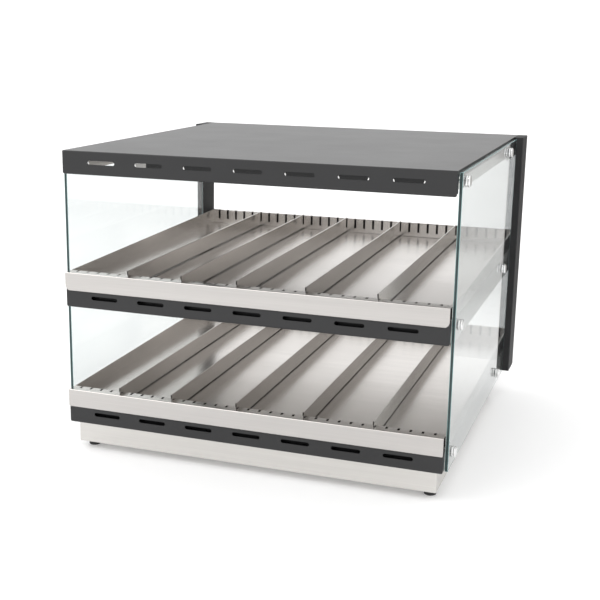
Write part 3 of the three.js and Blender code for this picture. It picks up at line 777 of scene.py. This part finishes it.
def make_standoff(level, end, label):
    node = f"standoff_{level}_{end}_{label}"
    low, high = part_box(node)
    side = 1 if label == "right" else -1
    glass_low, glass_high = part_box(f"glass_{label}")
    face = glass_high.x if side > 0 else -glass_low.x
    inside_face = glass_low.x if side > 0 else -glass_high.x
    centre = (0, (low.y + high.y) / 2, (low.z + high.z) / 2)
    r = (high.z - low.z) / 2
    start = face + 0.35 * MM
    end_x = max(high.x, -low.x)
    profile = [
        (3 * MM, start + MM), (r - 0.4 * MM, start), (r, start + 0.4 * MM), (r, start + 3.6 * MM),
        (r - 0.5 * MM, start + 4.0 * MM), (r - 1.6 * MM, start + 4.1 * MM), (r - 1.6 * MM, start + 4.9 * MM),
        (r - 0.5 * MM, start + 5.0 * MM), (r, start + 5.4 * MM), (r, end_x - 2.0 * MM),
        (r - 0.5 * MM, end_x - 0.9 * MM), (r - 1.7 * MM, end_x - 0.25 * MM), (r - 3.2 * MM, end_x),
        (0.4 * MM, end_x),
    ]
    cap = tube("cap", [(a, side * b) for a, b in profile], 0, centre, 48)
    finished(f"cap_{level}_{end}_{label}", cap, CHROME, [node], edge=0, angle=60)
    shank = [(3 * MM, start + 1.5 * MM), (3 * MM, inside_face - 10 * MM), (2.4 * MM, inside_face - 11 * MM)]
    bolt = tube("bolt", [(a, side * b) for a, b in shank], 0, centre, 28)
    finished(f"bolt_{level}_{end}_{label}", bolt, CHROME, edge=0)
    spacer = [(3.1 * MM, inside_face - 0.15 * MM), (8.5 * MM, inside_face - 0.15 * MM),
              (8.7 * MM, inside_face - 0.4 * MM), (8.5 * MM, inside_face - 0.8 * MM),
              (3.1 * MM, inside_face - 0.8 * MM)]
    washer = tube("washer", [(a, side * b) for a, b in spacer], 0, centre, 36)
    finished(f"washer_{level}_{end}_{label}", washer, PLASTIC, edge=0)


def make_post(label):
    low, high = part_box(f"rear_post_{label}")
    wall = 2 * MM
    post = prism("post", rounded_rectangle(low, high, 2.2 * MM), 2, low.z, high.z)
    hollow = block("hollow", (low.x + wall, low.y + wall, low.z - MM),
                   (high.x - wall, high.y - wall, low.z + 30 * MM))
    finished(f"post_{label}", cut(post, hollow), COAT_MATT, [f"rear_post_{label}"], edge=0.6 * MM)
    for number, z in enumerate((low.z + 40 * MM, (low.z + high.z) / 2, high.z - 24 * MM)):
        screw(f"post_screw_{label}_{number + 1}", ((low.x + high.x) / 2, high.y - 0.2 * MM, z), 1)


def screw(name, place, facing, radius=4.2 * MM):
    """A sunken cross-head screw whose head lies flush in the sheet; facing is its direction along Y."""
    profile = [(radius, -0.6 * MM), (radius, -0.05 * MM), (radius * 0.86, 0.12 * MM), (0.3 * MM, 0.18 * MM)]
    head = tube("head", [(a, facing * b) for a, b in profile], 1, place, 32)
    x, y, z = place
    reach, wide = radius * 0.62, 0.55 * MM
    cross = [block("bar", (x - reach, y - 0.5 * MM, z - wide), (x + reach, y + 0.6 * MM, z + wide)),
             block("bar", (x - wide, y - 0.5 * MM, z - reach), (x + wide, y + 0.6 * MM, z + reach))]
    finished(name, cut(head, *cross), CHROME, edge=0)


# ---------------------------------------------------------------- base and feet

def make_base():
    low, high = base_lo, base_hi
    shell = prism("shell", rounded_rectangle(low, high, 2.5 * MM), 2, low.z, high.z)
    t, flange = 2 * MM, 34 * MM
    panel_low, panel_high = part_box("control_panel")
    hollow = block("hollow", (low.x + t, low.y + t, low.z + t), (high.x - t, high.y - t, high.z + MM))
    under = block("under", (low.x + flange, low.y + flange, low.z - MM),
                  (high.x - flange, high.y - flange, low.z + 5 * MM))
    window = block("window", (panel_low.x + 4 * MM, high.y - 6 * MM, panel_low.z + 4 * MM),
                   (panel_high.x - 4 * MM, high.y + MM, panel_high.z - 4 * MM))
    gland_low, gland_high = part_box("cable_gland")
    gland_hole = tube("hole", [(10.2 * MM, -6 * MM), (10.2 * MM, 6 * MM)], 1,
                      ((gland_low.x + gland_high.x) / 2, high.y, (gland_low.z + gland_high.z) / 2), 32)
    finished("base_shell", cut(shell, hollow, under, window, gland_hole), STEEL_BASE, ["base_plinth"],
             edge=0.4 * MM)
    dress("base_bottom_plate", STEEL_DULL)
    for corner in ("front_left", "rear_left", "front_right", "rear_right"):
        a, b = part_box(f"foot_{corner}")
        centre = ((a.x + b.x) / 2, (a.y + b.y) / 2, 0)
        r, h = (b.x - a.x) / 2, low.z
        profile = [(0.5 * MM, 0.6 * MM), (r - 4 * MM, 0.6 * MM), (r - 3.4 * MM, 0), (r - 1.2 * MM, 0),
                   (r - 0.5 * MM, 0.5 * MM), (r - 0.2 * MM, 2 * MM), (r - 1.2 * MM, h * 0.45),
                   (r - 1.0 * MM, h * 0.72), (r - 0.1 * MM, h * 0.8), (r, h * 0.86),
                   (r - 0.2 * MM, h - 0.5 * MM),
                   (3 * MM, h - 0.35 * MM), (3 * MM, h + 8 * MM), (0.5 * MM, h + 8 * MM)]
        finished(f"rubber_foot_{corner}", tube("foot", profile, 2, centre, 48), RUBBER,
                 [f"foot_{corner}"], edge=0, angle=60)


# ---------------------------------------------------------------- controls at the back of the base

def make_controls():
    for node in ("thermostat_upper", "thermostat_lower", "terminal_block"):
        dress(node, CERAMIC, edge=0.8 * MM)
    dress("control_panel", COAT, edge=0.4 * MM)
    dress("switch_body", PLASTIC, edge=0.5 * MM)
    dress("indicator_lamp", LENS, smooth=True)
    dress("cable_gland", PLASTIC, edge=0.5 * MM)

    panel_low, panel_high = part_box("control_panel")
    for node in ("thermostat_knob_upper", "thermostat_knob_lower"):
        make_knob(node, panel_low, panel_high)
    dress("switch_rocker", PLASTIC, edge=0.5 * MM)
    inset = 7 * MM
    left, right = panel_low.x + inset, panel_high.x - inset
    bottom, top = panel_low.z + inset, panel_high.z - inset
    for number, (x, z) in enumerate(((left, bottom), (right, bottom), (left, top), (right, top))):
        screw(f"panel_screw_{number + 1}", (x, panel_high.y, z), 1, 2.6 * MM)


def make_knob(node, panel_low, panel_high):
    """A fluted knob with a finger ridge and a pointer line, and the ring of dots round it."""
    low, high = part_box(node)
    level = node.split("_")[-1]
    body = f"{level}_thermostat_knob"
    x, z = (low.x + high.x) / 2, (low.z + high.z) / 2
    base, end = panel_high.y + MM, high.y
    r = (high.x - low.x) / 2
    steps, vertices = 72, []
    rings = [(3 * MM, base, 0), (r - 0.3 * MM, base, 0), (r, base + 0.5 * MM, 0),
             (r - 0.1 * MM, base + 2.6 * MM, 0), (r - 1.2 * MM, base + 3.2 * MM, 1),
             (r - 2.0 * MM, end - 5.4 * MM, 1), (r - 2.8 * MM, end - 4.4 * MM, 0.4),
             (r - 4 * MM, end - 4.1 * MM, 0)]
    for radius, y, flute in rings:
        for i in range(steps):
            turn = 2 * math.pi * i / steps
            rr = radius - flute * 0.5 * MM * (0.5 + 0.5 * math.cos(24 * turn))
            vertices.append((x + rr * math.sin(turn), y, z + rr * math.cos(turn)))
    disc = mesh_of("disc", vertices, ring_faces(len(rings), steps))
    wide, blunt = 2.6 * MM, 1.4 * MM
    ridge = [(x - wide, z - 11 * MM), (x - blunt, z - 12.2 * MM), (x + blunt, z - 12.2 * MM),
             (x + wide, z - 11 * MM), (x + wide, z + 11 * MM), (x + blunt, z + 12.2 * MM),
             (x - blunt, z + 12.2 * MM), (x - wide, z + 11 * MM)]
    grip = prism("grip", ridge, 1, end - 6 * MM, end - 0.1 * MM)
    shaft = tube("shaft", [(3 * MM, low.y + 0.1 * MM), (3 * MM, base + 2 * MM)], 1, (x, 0, z), 28)
    finished(f"knob_{level}", union(disc, grip, shaft), PLASTIC, [node], body=body, edge=0.25 * MM, angle=35)
    pointer = block("pointer", (x - 0.6 * MM, end - 0.3 * MM, z + 3 * MM), (x + 0.6 * MM, end, z + 11.6 * MM))
    finished(f"knob_line_{level}", pointer, MARKS, body=body, edge=0.08 * MM)
    reach, margin = 17.2 * MM, 1.4 * MM
    for i in range(10):
        turn = math.radians(30 * i)
        cx, cz = x - reach * math.sin(turn), z + reach * math.cos(turn)
        if cz > panel_high.z - margin or cz < panel_low.z + margin:
            continue
        dot = tube("dot", [(0.75 * MM, -0.03 * MM), (0.7 * MM, 0.08 * MM)], 1, (cx, panel_high.y, cz), 16)
        finished(f"dial_dot_{level}_{i + 1}", dot, MARKS, edge=0)


# ---------------------------------------------------------------- floor, light and camera

def make_stage():
    make_floor()
    world = bpy.data.worlds.new("studio")
    world.use_nodes = True
    world.node_tree.nodes["Background"].inputs["Color"].default_value = (1.0, 1.0, 1.0, 1.0)
    world.node_tree.nodes["Background"].inputs["Strength"].default_value = 1.2
    SCENE.world = world
    make_cloths()
    make_key_light((-1.7, -1.7, 3.2), (0, 0, 0.3), 2.8, 26)
    SCENE.view_settings.view_transform = "Standard"


def make_floor():
    size = 40.0
    corners = [(-size, -size, 0), (size, -size, 0), (size, size, 0), (-size, size, 0)]
    floor = object_of("floor", mesh_of("floor", corners, [[0, 1, 2, 3]]))
    n = Nodes("pale floor")
    cloud = n.noise(n.place, 1.5, 2.0)
    n.shader(Base_Color=n.mix(n.span(cloud, 0.0, 1.0), (0.9, 0.9, 0.9), (0.92, 0.92, 0.92)),
             Roughness=n.span(cloud, 0.55, 0.6))
    n.bsdf.inputs["Specular IOR Level"].default_value = 0.3
    n.bsdf.inputs["Emission Color"].default_value = (1.0, 1.0, 1.0, 1.0)
    n.bsdf.inputs["Emission Strength"].default_value = 0.17
    floor.data.materials.append(n.material)


def make_cloths():
    """Grey cloths beside and behind the object, seen only in reflections, give the steel its contrast."""
    hung = [(0.2, 2.9, 0), (3.3, 0.5, 0), (3.3, 0.5, 2.7), (0.2, 2.9, 2.7)]
    laid = [(0.1, 0.6, 0.004), (3.4, 0.6, 0.004), (3.4, 2.9, 0.004), (0.1, 2.9, 0.004)]
    for name, corners, near in (("hung cloth", hung, 0.42), ("laid cloth", laid, 0.97)):
        cloth = object_of(name, mesh_of(name, corners, [[0, 1, 2, 3]]))
        n = Nodes(name)
        split = n.add("ShaderNodeSeparateXYZ", Vector=n.place)
        fade = n.span(split.outputs["Y"], 0.0, 1.0, 0.55, 1.45)
        n.shader(Base_Color=n.mix(fade, (near, near, near), (0.38, 0.37, 0.36)), Roughness=1.0)
        cloth.data.materials.append(n.material)
        cloth.visible_camera = False
        cloth.visible_transmission = False
        cloth.visible_diffuse = False
        cloth.visible_shadow = False


def make_key_light(place, target, size, power):
    light = bpy.data.lights.new("key", "AREA")
    light.shape = "RECTANGLE"
    light.size, light.size_y, light.energy = size, size, power
    made = bpy.data.objects.new("key", light)
    made.location = place
    made.rotation_euler = (Vector(target) - Vector(place)).to_track_quat("-Z", "Y").to_euler()
    SCENE.collection.objects.link(made)


def make_camera():
    """The camera's place and its yaw, pitch and roll, with the focal length in image widths."""
    place = Vector((0.7449, -2.32429, 0.86712))
    yaw, pitch, roll = (math.radians(a) for a in (19.81, -13.66, 0.68))
    focal_length = 1.8346
    ahead = Vector((-math.sin(yaw) * math.cos(pitch), math.cos(yaw) * math.cos(pitch), math.sin(pitch)))
    level = Vector((math.cos(yaw), math.sin(yaw), 0))
    over = level.cross(ahead)
    right = level * math.cos(roll) + over * math.sin(roll)
    up = over * math.cos(roll) - level * math.sin(roll)
    camera = bpy.data.cameras.new("camera")
    camera.sensor_width = 36
    camera.lens = camera.sensor_width * focal_length
    camera.shift_x = 0.05
    made = bpy.data.objects.new("camera", camera)
    made.matrix_world = Matrix((
        (right.x, up.x, -ahead.x, place.x),
        (right.y, up.y, -ahead.y, place.y),
        (right.z, up.z, -ahead.z, place.z),
        (0, 0, 0, 1)))
    SCENE.collection.objects.link(made)
    SCENE.camera = made


make_camera()
make_stage()
make_canopy()
make_canopy_heater()
make_shelf("upper", 12 * MM)
make_shelf("lower", 4 * MM)
for side_name in ("left", "right"):
    make_glass(side_name)
    make_post(side_name)
    for level_name in ("lower", "upper", "canopy"):
        for end_name in ("front", "rear"):
            make_standoff(level_name, end_name, side_name)
make_base()
make_controls()
